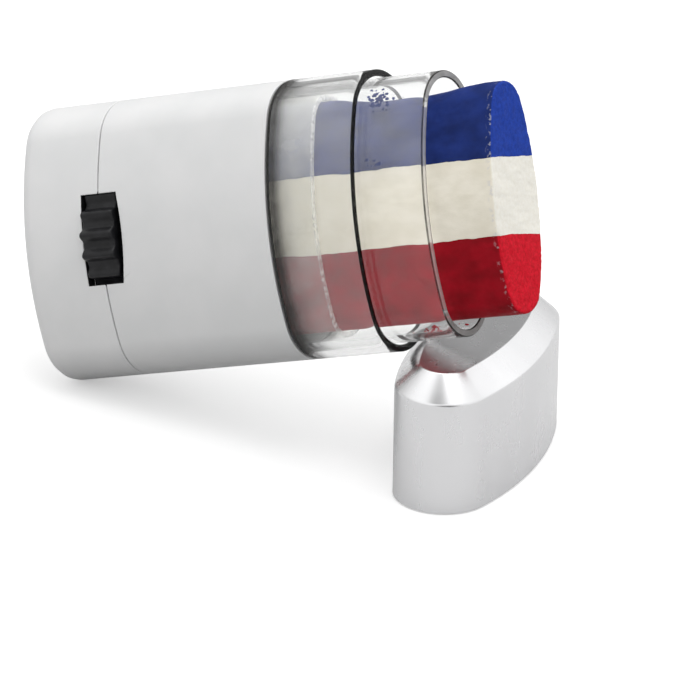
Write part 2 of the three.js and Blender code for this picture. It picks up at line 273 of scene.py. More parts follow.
def skin(rings, closed=False):
    """Vertices and faces through rings of (outline, heights), single points closing the ends."""
    points = []
    faces = []
    starts = []
    for outline, z in rings:
        starts.append(len(points))
        heights = np.broadcast_to(z, len(outline))
        points += [(x, y, h) for (x, y), h in zip(outline, heights)]
    for i in range(len(rings) if closed else len(rings) - 1):
        k = (i + 1) % len(rings)
        low, high = len(rings[i][0]), len(rings[k][0])
        for j in range(max(low, high)):
            n = (j + 1) % max(low, high)
            a, b = starts[i], starts[k]
            if low == 1:
                faces.append((a, b + n, b + j))
            elif high == 1:
                faces.append((a + j, a + n, b))
            else:
                faces.append((a + j, a + n, b + n, b + j))
    return points, faces


def thing(name, points, faces, place):
    mesh = bpy.data.meshes.new(name)
    mesh.from_pydata((np.array(points) * MM).tolist(), [], faces)
    mesh.validate()
    piece = bpy.data.objects.new(name, mesh)
    bpy.context.scene.collection.objects.link(piece)
    piece.matrix_world = place
    return piece


SOFT_FOLD = 60        # degrees, for walls whose small radii are few-sided


def smooth(piece, degrees=35):
    """Shades a piece smooth, apart from folds sharper than this."""
    piece.data.polygons.foreach_set("use_smooth", [True] * len(piece.data.polygons))
    piece.data.set_sharp_from_angle(angle=math.radians(degrees))
    return piece


def bake_modifiers(piece):
    """Replaces the mesh by its evaluated copy and drops the modifiers."""
    graph = bpy.context.evaluated_depsgraph_get()
    made = bpy.data.meshes.new_from_object(piece.evaluated_get(graph))
    old = piece.data
    piece.modifiers.clear()
    piece.data = made
    bpy.data.meshes.remove(old)


def carve(piece, points, faces):
    """Cuts a closed shape, drawn in the stick's place, out of a piece."""
    tool = thing("cutter", points, faces, STICK)
    cut = piece.modifiers.new("cut", "BOOLEAN")
    cut.operation = "DIFFERENCE"
    cut.solver = "EXACT"
    cut.object = tool
    bake_modifiers(piece)
    bpy.data.objects.remove(tool)


def along_thin(points, faces):
    """Turns a shape drawn as (along, wide, thin) into (wide, thin, along)."""
    return [(x, y, z) for z, x, y in points], faces


def cut_window(piece):
    """Opens the dial window on both broad sides and the round pocket that the dial turns in."""
    low, high = POCKET_LOW, POCKET_HIGH
    ring = disc(DIAL_RADIUS + RUN, np.linspace(0, 2 * math.pi, POCKET_STEPS, endpoint=False))
    carve(piece, *skin([centre(low), (ring, low), (ring, high), centre(high)]))
    across = np.linspace(-1, 1, BROW_STEPS + 1)
    brow = np.c_[high + WINDOW_BROW * (1 - across ** 2), across * WINDOW_HALF]
    opening = np.vstack([[[low, -WINDOW_HALF]], brow, [[low, WINDOW_HALF]]])
    deep = HALF_THIN + 2
    middle = np.array([[(low + high) / 2, 0.0]])
    rings = [(middle, -deep), (opening, -deep), (opening, deep), (middle, deep)]
    carve(piece, *along_thin(*skin(rings)))


def in_window(point):
    """Whether a point in millimetres lies inside the window's outline or on it."""
    along = POCKET_LOW - NEAR < point.z < POCKET_HIGH + WINDOW_BROW + NEAR
    return along and abs(point.x) < WINDOW_HALF + NEAR


def on_outside(point, within=NEAR):
    """Whether a point in millimetres lies on a broad side of the barrel's outer oval."""
    return abs(math.hypot(point.x, abs(point.y) + RISE) - BROAD_RADIUS) < within


def blacken_window(piece, slot):
    """Gives the cut faces of the dial window and pocket another material slot, which holds black
    plastic: painted shade for the deep shadow in the window.
    """
    for face in piece.data.polygons:
        spots = [piece.data.vertices[v].co / MM for v in face.vertices]
        outside = all(on_outside(p, WINDOW_EDGE + 0.03) for p in spots)
        if all(in_window(p) for p in spots) and not outside:
            face.material_index = slot


SHARP = 0.9           # radians, the least fold that is rounded


def soften_window(piece):
    """Rounds the window's outer edges."""
    mesh = bmesh.new()
    mesh.from_mesh(piece.data)
    bmesh.ops.remove_doubles(mesh, verts=mesh.verts, dist=1e-7)
    chosen = []
    for edge in mesh.edges:
        ends = [v.co / MM for v in edge.verts]
        sharp = len(edge.link_faces) == 2 and edge.calc_face_angle(0) > SHARP
        if sharp and all(in_window(p) and on_outside(p) for p in ends):
            chosen.append(edge)
    bmesh.ops.bevel(
        mesh, geom=chosen, offset=WINDOW_EDGE * MM, segments=2, profile=0.5, affect="EDGES"
    )
    mesh.to_mesh(piece.data)
    mesh.free()


def weigh_normals(piece):
    smooth(piece, 40)
    piece.modifiers.new("weigh", "WEIGHTED_NORMAL").keep_sharp = True
    bake_modifiers(piece)


# ---- material nodes -------------------------------------------------------------------------

class Paint:
    """A material or world under construction. Inputs may be numbers, colours or sockets.

    Patterns and heights are taken in the place home, the stick's or the cap's.
    """

    def __init__(self, name, store=None, home=STICK):
        self.home = home
        self.owner = (bpy.data.materials if store is None else store).new(name)
        self.owner.use_nodes = True
        self.tree = self.owner.node_tree
        self.tree.nodes.clear()

    def add(self, kind, inputs=None, **settings):
        node = self.tree.nodes.new(kind)
        for key, value in settings.items():
            setattr(node, key, value)
        for key, value in (inputs or {}).items():
            socket = node.inputs[key]
            if isinstance(value, bpy.types.NodeSocket):
                self.tree.links.new(value, socket)
            else:
                socket.default_value = value
        return node

    def spot(self):
        """Position in the home place, in metres."""
        shift, turn, _ = self.home.inverted().decompose()
        where = self.add("ShaderNodeTexCoord").outputs["Object"]
        return self.add("ShaderNodeMapping", {
            "Vector": where, "Location": shift, "Rotation": turn.to_euler("XYZ"),
        }).outputs["Vector"]

    def place(self, scale=(1, 1, 1)):
        """Position in the home place, in metres times scale."""
        made = self.add("ShaderNodeMapping", {"Vector": self.spot(), "Scale": scale})
        return made.outputs["Vector"]

    def height(self):
        """Height in the home place, in metres."""
        return self.add("ShaderNodeSeparateXYZ", {"Vector": self.spot()}).outputs["Z"]

    def across(self):
        """Place along the wide side, in metres."""
        return self.add("ShaderNodeSeparateXYZ", {"Vector": self.spot()}).outputs["X"]

    def upright(self):
        """How far the surface faces up in the home place, from -1 to 1."""
        facing = self.add("ShaderNodeTexCoord").outputs["Normal"]
        up = self.home.to_3x3().col[2]
        made = self.add("ShaderNodeVectorMath", {0: facing, 1: up}, operation="DOT_PRODUCT")
        return made.outputs["Value"]

    def noise(self, size, detail=4.0, stretch=(1, 1, 1), roughness=0.5):
        """Noise with features of about size millimetres, longer along axes with small stretch."""
        scale = tuple(s / (size * MM) for s in stretch)
        made = self.add("ShaderNodeTexNoise", {
            "Vector": self.place(scale), "Scale": 1.0, "Detail": detail, "Roughness": roughness,
        })
        return made.outputs["Fac"]

    def ramp(self, value, low, high, to_low=0.0, to_high=1.0):
        made = self.add("ShaderNodeMapRange", {
            "Value": value, "From Min": low, "From Max": high, "To Min": to_low, "To Max": to_high,
        })
        return made.outputs["Result"]

    def math(self, operation, a, b=0.0):
        return self.add("ShaderNodeMath", {0: a, 1: b}, operation=operation).outputs[0]

    def mix(self, factor, a, b):
        made = self.add("ShaderNodeMix", {0: factor}, data_type="RGBA")
        for key, value in (("A", a), ("B", b)):
            socket = next(s for s in made.inputs if s.name == key and s.type == "RGBA")
            if isinstance(value, bpy.types.NodeSocket):
                self.tree.links.new(value, socket)
            else:
                socket.default_value = value
        return next(s for s in made.outputs if s.type == "RGBA")

    def mottled(self, pattern, low, high, a, b):
        """Two colours mixed by a pattern, between two of its values."""
        return self.mix(self.ramp(pattern, low, high), a, b)

    def bump(self, height, distance_mm, strength, normal=None):
        inputs = {"Height": height, "Distance": distance_mm * MM, "Strength": strength}
        if normal is not None:
            inputs["Normal"] = normal
        return self.add("ShaderNodeBump", inputs).outputs["Normal"]

    def solid(self, **inputs):
        """A principled surface. Input names are given with underscores for spaces."""
        named = {key.replace("_", " "): value for key, value in inputs.items()}
        return self.add("ShaderNodeBsdfPrincipled", named).outputs[0]

    def diffuse(self, tone):
        return self.add("ShaderNodeBsdfDiffuse", {"Color": tone}).outputs[0]

    def transparent(self, tint):
        return self.add("ShaderNodeBsdfTransparent", {"Color": tint}).outputs[0]

    def blend(self, factor, a, b):
        return self.add("ShaderNodeMixShader", {"Fac": factor, 1: a, 2: b}).outputs[0]

    def see_through(self, body, tint):
        """Lets light for shadows straight through, tinted, so that what is inside is lit."""
        return self.blend(self.light_path("Shadow"), body, self.transparent(tint))

    def light_path(self, *kinds):
        """1 for rays of any of these kinds, else 0."""
        node = self.add("ShaderNodeLightPath")
        total = 0.0
        for kind in kinds:
            total = self.math("MAXIMUM", node.outputs["Is " + kind + " Ray"], total)
        return total

    def done(self, surface):
        self.add("ShaderNodeOutputMaterial", {"Surface": surface})
        return self.owner


def colour(r, g, b):
    return (r, g, b, 1.0)


def grey(value):
    return colour(value, value, value)


def white_plastic():
    """Satin moulded plastic: faint orange peel, a fine grain and slow changes of gloss."""
    p = Paint("white_plastic")
    tone = p.mottled(p.noise(9, 3), 0.35, 0.65, colour(0.76, 0.765, 0.765), grey(0.80))
    gloss = p.ramp(p.noise(3, 5), 0.3, 0.7, 0.34, 0.44)
    peel = p.bump(p.noise(1.1, 2), 0.006, 0.5)
    grain = p.bump(p.noise(0.12, 3), 0.002, 0.6, peel)
    return p.done(p.solid(
        Base_Color=tone, Roughness=gloss, Normal=grain, Specular_IOR_Level=0.35,
        Subsurface_Weight=0.15, Subsurface_Radius=(1.0, 1.0, 0.9), Subsurface_Scale=0.6 * MM,
    ))


def black_plastic():
    """Dense black moulding with a satin grain."""
    p = Paint("black_plastic")
    dark, light = colour(0.005, 0.005, 0.006), colour(0.013, 0.013, 0.015)
    tone = p.mottled(p.noise(1.5, 4), 0.3, 0.7, dark, light)
    gloss = p.ramp(p.noise(0.8, 4), 0.3, 0.7, 0.33, 0.5)
    grain = p.bump(p.noise(0.15, 3), 0.004, 0.8)
    return p.done(p.solid(
        Base_Color=tone, Roughness=gloss, Normal=grain, Specular_IOR_Level=0.28,
    ))


def clear_plastic(name, haze, shade_from=None):
    """Polished clear moulding under a thin film of wax, thicker towards the blue side.

    From a given height, in millimetres, a band of painted shade darkens the foot of the wall, for
    the shadow inside the sleeve.
    """
    p = Paint(name)
    glass = p.solid(
        Base_Color=colour(0.985, 0.988, 0.985), Roughness=0.02, IOR=1.36,
        Transmission_Weight=1.0, Normal=p.bump(p.noise(4, 2), 0.01, 0.2),
    )
    film = p.diffuse(colour(0.80, 0.80, 0.79))
    patches = p.ramp(p.noise(5, 4, (1, 1, 0.5)), 0.3, 0.7, haze * 0.6, haze * 1.4)
    patches = p.math("MULTIPLY", patches, p.ramp(p.across(), -8 * MM, 12 * MM, 0.25, 1.75))
    body = p.blend(patches, glass, film)
    # Painted shade: a dark band at the foot of the wall, where the sleeve shades what lies inside.
    if shade_from is not None:
        start, darkest, end = (MM * (shade_from + by) for by in (0.25, 0.8, 2.7))
        painted_shade = p.diffuse(colour(0.040, 0.038, 0.036))
        rise = p.ramp(p.height(), start, darkest)
        fall = p.ramp(p.height(), darkest, end, 1.0, 0.0)
        band = p.math("MULTIPLY", rise, p.math("POWER", fall, 1.6))
        uneven = p.ramp(p.noise(3, 4), 0.3, 0.7, 0.45, 0.85)
        body = p.blend(p.math("MULTIPLY", band, uneven), body, painted_shade)
    return p.done(p.see_through(body, grey(0.99)))


def painted_dark_edge():
    """Cut end of a clear wall, painted near black: painted shade, as the end looks dark because it
    shows the inside of the wall.
    """
    p = Paint("painted_dark_edge")
    tone = p.mottled(p.noise(1.2, 3), 0.3, 0.7, grey(0.004), grey(0.014))
    return p.done(p.solid(Base_Color=tone, Roughness=0.15, Specular_IOR_Level=0.2))


def rim_tint(name, tone, share):
    """Rim of a thin clear wall, painted: a share of a tone veils what is behind it, a dark tone as
    painted shade and a pale one as painted light.
    """
    p = Paint(name)
    veil = p.solid(Base_Color=tone, Roughness=0.2, Specular_IOR_Level=0.3)
    through = p.transparent(colour(0.88, 0.87, 0.86))
    uneven = p.ramp(p.noise(1.5, 3), 0.3, 0.7, 0.85 * share, 1.15 * share)
    return p.done(p.see_through(p.blend(uneven, through, veil), grey(0.9)))


def milky_plastic(rim):
    """Natural, translucent plastic, cloudier on the blue side and at the rim, a height in mm."""
    p = Paint("milky_plastic")
    cloud = p.ramp(p.noise(3, 4), 0.3, 0.7, 0.03, 0.13)
    side = p.ramp(p.across(), 6 * MM, 17 * MM, 0.0, 0.30)
    edge = p.ramp(p.height(), (rim - 0.35) * MM, (rim - 0.15) * MM)
    broken = p.ramp(p.noise(0.5, 4), 0.38, 0.62, 0.05, 0.45)
    cloud = p.math("ADD", cloud, side)
    cloud = p.math("ADD", cloud, p.math("MULTIPLY", edge, broken))
    film = p.solid(
        Base_Color=colour(0.84, 0.84, 0.82), Roughness=0.4,
        Subsurface_Weight=0.3, Subsurface_Radius=(1, 1, 1), Subsurface_Scale=0.5 * MM,
    )
    body = p.blend(cloud, p.transparent(colour(0.97, 0.97, 0.96)), film)
    return p.done(p.see_through(body, grey(0.96)))


def wax(name, side, end, top):
    """Pressed cosmetic wax: soft, uneven in colour, with a fine grain, drag marks and specks.

    The flat end, at the height top in millimetres, has its own two lighter colours: painted light,
    for the stronger light that falls on the end.
    """
    p = Paint(name)
    tone = p.mottled(p.noise(2.2, 6, (1, 1, 0.6)), 0.32, 0.68, *side)
    # Painted light: the end faces take lighter, brighter colours than the sides, as if more
    # strongly lit.
    lit_end_tone = p.mottled(p.noise(0.5, 5, roughness=0.7), 0.35, 0.65, *end)
    on_end = p.ramp(p.upright(), 0.35, 0.75)
    tone = p.mix(on_end, tone, lit_end_tone)
    near = p.ramp(p.height(), (top - 1.3) * MM, (top - 0.5) * MM)
    near = p.math("MULTIPLY", near, p.math("SUBTRACT", 1.0, on_end))
    specks = p.math("MULTIPLY", near, p.ramp(p.noise(0.7, 5), 0.54, 0.64, 0.0, 0.5))
    tone = p.mix(specks, tone, colour(0.62, 0.62, 0.66))
    gloss = p.ramp(p.noise(1.0, 5), 0.3, 0.7, 0.5, 0.7)
    drag = p.bump(p.noise(1.6, 5, (1, 1, 0.25)), 0.05, 0.5)
    grain = p.bump(p.noise(0.28, 4, roughness=0.7), 0.03, 0.8, drag)
    return p.done(p.solid(
        Base_Color=tone, Roughness=gloss, Normal=grain, Specular_IOR_Level=0.12,
        Subsurface_Weight=0.08, Subsurface_Radius=(1, 1, 1), Subsurface_Scale=0.4 * MM,
    ))


def satin_silver():
    """Satin silver metal with slow changes of tone and gloss round the cap."""
    p = Paint("satin_silver", home=CAP)
    gloss = p.ramp(p.noise(2.5, 5, (1, 1, 0.4)), 0.3, 0.7, 0.245, 0.285)
    dark, light = colour(0.78, 0.78, 0.79), colour(0.82, 0.82, 0.83)
    tone = p.mottled(p.noise(6, 3, (1, 1, 0.3)), 0.3, 0.7, dark, light)
    return p.done(p.solid(Base_Color=tone, Metallic=1.0, Roughness=gloss))


def plain_moulding(name, tone):
    """Unpolished moulding inside the stick and the cap."""
    p = Paint(name)
    shade = p.mottled(p.noise(2, 4), 0.3, 0.7, tone, colour(*(0.92 * c for c in tone[:3])))
    grain = p.bump(p.noise(0.2, 3), 0.006, 0.7)
    return p.done(p.solid(Base_Color=shade, Roughness=0.5, Normal=grain))


# ---- record ---------------------------------------------------------------------------------

INSTALLED = []


def install(piece, body, slot, looks, *nodes):
    """Gives a piece its materials and its body, and hides the CAD nodes it stands for. The slot is
    not used.
    """
    piece.data.materials.clear()
    for look in looks:
        piece.data.materials.append(look)
    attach(piece, body)
    if nodes:
        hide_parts(*nodes)
    INSTALLED.append(piece)


def settle(piece):
    """Moves a finished piece's mesh into the row frame, as the CAD meshes are."""
    piece.data.transform(piece.matrix_world)
    piece.matrix_world = Matrix.Identity(4)


# ---- shells ---------------------------------------------------------------------------------

def windowed(piece, look, pocket, node):
    """Finishes a white shell: opens its half of the dial window and gives it its materials."""
    cut_window(piece)
    soften_window(piece)
    weigh_normals(piece)
    install(piece, "barrel", "white_plastic", [look, pocket], node)
    # Painted shade: the window's cut faces take the black material.
    blacken_window(piece, 1)


def base_cup(look, pocket):
    top = BASE_HI[2]
    wall = oval_rings([
        (BASE_FILLET, 0, 0),
        (0, 0, BASE_FILLET),
        (0, top, RIM),
        (BASE_WALL, top, RIM),
        (BASE_WALL, BASE_FLOOR, BASE_CORNER),
        (BASE_WALL + 0.6, BASE_FLOOR, 0),
    ])
    inside = [
        (disc(BOSS_RADIUS), BASE_FLOOR),
        (disc(BOSS_RADIUS), POCKET_LOW),
        (disc(PIVOT_RADIUS), POCKET_LOW),
        (disc(PIVOT_RADIUS), POCKET_LOW + PIVOT_STAND),
        centre(POCKET_LOW + PIVOT_STAND),
    ]
    piece = thing("base_cup_body", *skin([centre(0), *wall, *inside]), STICK)
    windowed(piece, look, pocket, "base_cup")


def barrel_sleeve(look, pocket):
    spigot_out = BASE_WALL + SPIGOT_GAP
    spigot_in = spigot_out + SPIGOT_WALL
    ledge = DIAL_HI[2]
    rings = oval_rings([
        (spigot_in, ledge, 0),
        (spigot_in, SLEEVE_LO[2], RIM),
        (spigot_out, SLEEVE_LO[2], RIM),
        (spigot_out, SEAM_TOP, 0),
        (0, SEAM_TOP, RIM),
        (0, SLEEVE_HI[2], RIM),
        (SLEEVE_WALL, SLEEVE_HI[2], RIM),
        (SLEEVE_WALL, ledge, 0),
    ], closed=True)
    piece = thing("barrel_sleeve_body", *skin(rings, closed=True), STICK)
    windowed(piece, look, pocket, "barrel_sleeve")


def mark_faces(piece, chosen, index):
    """Gives the faces whose centre, in millimetres, satisfies a test another material slot."""
    for face in piece.data.polygons:
        if chosen(face.center / MM, face.normal):
            face.material_index = index


def clear_collar(look, edge):
    low, high = COLLAR_LO[2], COLLAR_HI[2]
    rings = oval_rings([
        (SLEEVE_WALL, low, RIM),
        (0, low, COLLAR_FOOT),
        (0, high, LIP),
        (DARK_WIDTH, high, 0),
        (SLEEVE_WALL, high, LIP),
    ], closed=True)
    piece = smooth(thing("clear_collar_ring", *skin(rings, closed=True), STICK), SOFT_FOLD)
    install(piece, "barrel", "clear_plastic", [look, edge], "clear_collar")
    # Painted shade: near-black lines on the collar's rim and at its foot.
    mark_faces(piece, lambda c, n: c.z > high - DARK_DEPTH and inset_at(c.x, c.y) < DARK_WIDTH, 1)
    mark_faces(piece, lambda c, n: c.z < low + FOOT_DEPTH, 1)


def clear_barrel(look, edge, line, rim):
    low, high = BARREL_LO[2], BARREL_HI[2]
    floor = low + BARREL_FLOOR
    wall = oval_rings([
        (BARREL_OUT + 1, low, 0),
        (BARREL_OUT, low, RIM),
        (BARREL_OUT, high, EDGE_LINE),
        (BARREL_IN, high, EDGE_LINE),
        (BARREL_IN, floor, CORNER),
        (BARREL_IN + 1, floor, 0),
    ])
    rings = [*wall, (disc(BEARING_RADIUS), floor), (disc(BEARING_RADIUS), low)]
    piece = smooth(thing("clear_barrel_body", *skin(rings, closed=True), STICK), SOFT_FOLD)
    install(piece, "barrel", "clear_plastic", [look, edge, line, rim], "clear_barrel")
    # Painted shade: the barrel's floor, seen through the window's gap, is painted near black.
    mark_faces(piece, lambda c, n: c.z < floor, 1)
    # Painted shade on the rim's rounded edges, and a pale veil, painted light, on its flat top.
    mark_faces(piece, lambda c, n: c.z > high - EDGE_LINE, 2)
    mark_faces(piece, lambda c, n: c.z > high - 0.01 and n.z > 0.97, 3)


# ---- dial -----------------------------------------------------------------------------------

def ribbed(inset):
    """Outline of the dial: rounded ribs with flats between them."""
    tips = local("thumbwheel", STICK)
    reach = np.hypot(tips[:, 0], tips[:, 1])
    crest = tips[np.argmax(reach)]
    phase = math.atan2(crest[1], crest[0])
    flat = DIAL_RADIUS - RIB_STAND
    outline = []
    for k in range(RIBS):
        turn = phase + 2 * math.pi * k / RIBS
        for i in range(-RIB_STEPS, RIB_STEPS):
            across = i / RIB_STEPS * (math.pi * flat / RIBS)
            t = min(1.0, abs(across) / RIB_HALF)
            lift = RIB_STAND * (0.5 + 0.5 * math.cos(math.pi * t)) ** 0.8
            radius = flat + lift - inset
            angle = turn + across / flat
            outline.append((radius * math.cos(angle), radius * math.sin(angle)))
    return np.array(outline)


def thumbwheel(look):
    low, high = DIAL_LO[2], DIAL_HI[2]
    profile = rounded([
        (DIAL_FACE, low, 0),
        (0, low, DIAL_EDGE),
        (0, high, DIAL_EDGE),
        (DIAL_FACE, high, 0),
    ], steps=5)
    rings = [(ribbed(x), z) for x, z in divided(profile)]
    bore = circle_in(rings[0][0], HUB_BORE)
    rings = [(bore, low), *rings, (bore, high)]
    piece = smooth(thing("thumbwheel_dial", *skin(rings, closed=True), STICK), 50)
    install(piece, "dial", "black_plastic", [look], "thumbwheel")


# ---- elevator -------------------------------------------------------------------------------

def elevator_cup(look):
    low = CUP_LO[2]
    under = BLUE_LO[2] - RUN - PLATFORM
    wall = oval_rings([
        (SKIRT_OUT + 0.8, under, 0),
        (SKIRT_OUT, under, CORNER),
        (SKIRT_OUT, CUP_HI[2], LIP),
        (SKIRT_IN, CUP_HI[2], LIP),
        (SKIRT_IN, under + PLATFORM, CORNER),
        (SKIRT_IN + 0.8, under + PLATFORM, 0),
    ])
    nut = [(disc(NUT_BORE), low), (disc(NUT_RADIUS), low), (disc(NUT_RADIUS), under)]
    rings = [*nut, *wall, (disc(NUT_BORE), under + PLATFORM)]
    piece = smooth(thing("elevator_cup_body", *skin(rings, closed=True), STICK))
    install(piece, "elevator", "natural_plastic", [look], "elevator_cup")


# ---- wax bars -------------------------------------------------------------------------------

SIDE_STEPS = 44
ACROSS_STEPS = 26
BAR_RINGS = 90
WAX_EDGE = 0.35       # worn edge radius of the exposed end
EDGE_TURNS = (22, 45, 68)  # degrees round that edge
CRACK = 0.012         # half gap between two colours

# Wander of a joint: frequency along and through the bar, seed shift, reach in millimetres
JOINT_WAVES = ((0.11, 0.12, 0, 0.42), (0.6, 0.5, 7, 0.16), (2.3, 1.9, 3, 0.05))
# Wear: frequency across and along the bar, shift, depth on the sides and on the end
WEAR_WAVES = ((0.5, 0.3, 0, 0.05, 0.07), (1.7, 1.2, 40, 0.03, 0.06), (4.1, 3.7, 90, 0.015, 0.035))
LEAN = (0.13, 0.47, 0.07)  # slant of the end through the bar: in the middle, added at red, at blue
LEAN_REACH = 14       # distance from the middle at which the added slant is full
LEAN_DEPTH = 7        # how far below the end the slant fades out
BLUE_DROP = 0.1       # how much lower the end is at blue's edge
END_SKIN = 0.2        # points this near the end are worn as part of it
SLUMP = 0.9           # how far blue's edge has sunk
SLUMP_RISE = (52, 60)
SLUMP_FALL = (67, 79)


def half_thickness(x, inset):
    """Half the oval's thickness at x across its wide side."""
    end = END_RADIUS - inset
    x = abs(x)
    if x < END_CENTRE + end * math.cos(MEET):
        return math.sqrt((BROAD_RADIUS - inset) ** 2 - x * x) - RISE
    return math.sqrt(max(0.0, end ** 2 - (x - END_CENTRE) ** 2))


def wander(middle, seed):
    """Uneven joint between two colours: its place across the bar at a height and depth."""
    def at(z, y):
        place = middle
        for along, through, shift, reach in JOINT_WAVES:
            place += reach * noise.noise(Vector((z * along, y * through, seed + shift)))
        return place
    return at


def bar_grid(low, high, inset, z):
    """Section of a bar as rows from its high side to its low side, each row from front to back.

    A side is a joint's function, or None where the bar ends at the oval's tip.
    """
    tip = HALF_WIDE - inset
    across = np.linspace(1, -1, ACROSS_STEPS + 1)

    def side(line, end):
        if line is None:
            return np.full(len(across), end)
        reach = half_thickness(line(z, 0.0), inset)
        return np.array([line(z, v * reach) for v in across])

    x_high = side(high, tip)
    x_low = side(low, -tip)
    share = np.linspace(0, 1, SIDE_STEPS + 1)
    if high is None:
        share = 1 - np.cos(share * math.pi / 2)
    elif low is None:
        share = np.sin(share * math.pi / 2)
    xs = x_high[None, :] + (x_low - x_high)[None, :] * share[:, None]
    ys = np.array([[v * half_thickness(x, inset) for x, v in zip(row, across)] for row in xs])
    return np.stack([xs, ys], axis=2)


def rim_indices(low, high):
    """Grid places round the section's edge, anticlockwise, with a tip counted once."""
    rows, columns = SIDE_STEPS + 1, ACROSS_STEPS + 1
    first = 1 if high is None else 0
    last = rows - 2 if low is None else rows - 1
    loop = [(i, 0) for i in range(first, last + 1)]
    if low is None:
        loop.append((rows - 1, 0))
    else:
        loop += [(rows - 1, j) for j in range(1, columns - 1)]
    loop += [(i, columns - 1) for i in range(last, first - 1, -1)]
    if high is None:
        loop.append((0, 0))
    else:
        loop += [(0, j) for j in range(columns - 2, 0, -1)]
    return loop


def smoothstep(value, low, high):
    t = np.clip((value - low) / (high - low), 0, 1)
    return t * t * (3 - 2 * t)


def wear(points):
    """Bends straight bars into worn wax: slanted end, slumped top edge, dents and drag marks."""
    top = WHITE_HI[2]
    x, y, z = points.T
    middle, at_red, at_blue = LEAN
    tilt = middle + at_red * smoothstep(-x, 0, LEAN_REACH) + at_blue * smoothstep(x, 0, LEAN_REACH)
    lift = -tilt * y / half_thickness(0, BAR_OUT) - BLUE_DROP * smoothstep(x, 4, LEAN_REACH)
    near_end = smoothstep(z, top - LEAN_DEPTH, top)
    slump = SLUMP * smoothstep(z, *SLUMP_RISE) * (1 - smoothstep(z, *SLUMP_FALL))
    slump = slump * smoothstep(x, 9, HALF_WIDE - BAR_OUT)
    moved = np.c_[x - slump, y, z + lift * near_end]
    for k, (px, py, pz) in enumerate(points):
        on_side = on_end = 0.0
        for across, along, shift, side_depth, end_depth in WEAR_WAVES:
            wave = noise.noise(Vector((px * across, py * across, pz * along + shift)))
            on_side += side_depth * wave
            on_end += end_depth * wave
        reach = math.hypot(px, py) or 1.0
        moved[k, 0] += on_side * px / reach
        moved[k, 1] += on_side * py / reach
        if pz > top - END_SKIN:
            moved[k, 2] += on_end
    return moved


def colour_bar(name, node, low, high, look, slot, bored=False):
    """A bar of wax between two joints. The bored one has room inside for the screw."""
    bottom, top = (end[2] for end in span(node))
    loop = rim_indices(low, high)

    def ring(inset, z):
        grid = bar_grid(low, high, inset, z)
        return np.array([grid[i, j] for i, j in loop])

    side_top = top - WAX_EDGE
    rings = [(ring(BAR_OUT, z), z) for z in np.linspace(bottom, side_top, BAR_RINGS)]
    for a in map(math.radians, EDGE_TURNS):
        inset = BAR_OUT + WAX_EDGE * (1 - math.cos(a))
        rings.append((ring(inset, side_top), side_top + WAX_EDGE * math.sin(a)))
    if bored:
        bore = circle_in(rings[0][0], BAR_BORE)
        ceiling = SCREW_HI[2] + BORE_SPARE
        foot = [centre(ceiling), (bore, ceiling), (bore, bottom)]
    else:
        foot = [(rings[0][0].mean(0)[None, :], bottom)]
    points, faces = skin([*foot, *rings])
    edge = len(points) - len(loop)
    grid = bar_grid(low, high, BAR_OUT + WAX_EDGE, side_top)
    rows, columns = grid.shape[:2]
    number = {place: len(points) + k for k, place in enumerate(loop)}
    points += [(*grid[i, j], top) for i, j in loop]
    for k in range(len(loop)):
        n = (k + 1) % len(loop)
        faces.append((edge + k, edge + n, edge + len(loop) + n, edge + len(loop) + k))
    for i in range(rows):
        at_tip = (high is None and i == 0) or (low is None and i == rows - 1)
        for j in range(columns):
            if (i, j) in number:
                continue
            if at_tip:
                number[i, j] = number[i, 0]
            else:
                number[i, j] = len(points)
                points.append((*grid[i, j], top))
    for i in range(rows - 1):
        for j in range(columns - 1):
            corners = (number[i, j], number[i + 1, j], number[i + 1, j + 1], number[i, j + 1])
            corners = tuple(dict.fromkeys(corners))
            if len(corners) > 2:
                faces.append(corners)
    piece = smooth(thing(name, wear(np.array(points)), faces, STICK), 50)
    install(piece, "elevator", slot, [look], node)


def colour_bars():
    upper = wander((BLUE_LO[0] + WHITE_HI[0]) / 2, 3.1)
    lower = wander((RED_HI[0] + WHITE_LO[0]) / 2, 11.7)

    def shifted(line, by):
        return lambda z, y: line(z, y) + by

    # Each wax: two side colours, then two lighter end colours that are painted light.
    blue = wax(
        "blue_wax", (colour(0.006, 0.018, 0.11), colour(0.012, 0.032, 0.19)),
        (colour(0.009, 0.038, 0.28), colour(0.018, 0.062, 0.43)), BLUE_HI[2],
    )
    white = wax(
        "white_wax", (colour(0.84, 0.79, 0.66), colour(0.94, 0.89, 0.77)),
        (colour(0.90, 0.87, 0.78), colour(0.97, 0.95, 0.88)), WHITE_HI[2],
    )
    red = wax(
        "red_wax", (colour(0.22, 0.001, 0.006), colour(0.38, 0.002, 0.012)),
        (colour(0.50, 0.003, 0.012), colour(0.78, 0.010, 0.030)), RED_HI[2],
    )
    colour_bar("blue_bar", "colour_bar_blue", shifted(upper, CRACK), None, blue, "blue_colour")
    colour_bar("white_bar", "colour_bar_white", lower, upper, white, "white_colour", bored=True)
    colour_bar("red_bar", "colour_bar_red", None, shifted(lower, -CRACK), red, "red_colour")
    return blue, red


# ---- smears ---------------------------------------------------------------------------------

CRUMB_STEPS = 10
CRUMB_THICK = 0.06
CRUMB_LEAST, CRUMB_SPREAD = 0.05, 0.2  # smallest radius, and the range above it
CRUMB_WOBBLE = 0.45   # unevenness of a crumb's outline
CRUMB_STRETCH = 1.4   # length over width
SUNK = 0.02           # how deep a crumb reaches into the wall
UP = Vector((0, 0, 1))

# Patches of crumbs: place across and along the stick, spread across and along, number of crumbs
BLUE_PATCHES = [(15.2, 62.7, 0.7, 1.2, 70), (6.8, 62.4, 0.6, 0.7, 10)]
RED_PATCHES = [(-16.9, 67.5, 0.25, 1.6, 30)]


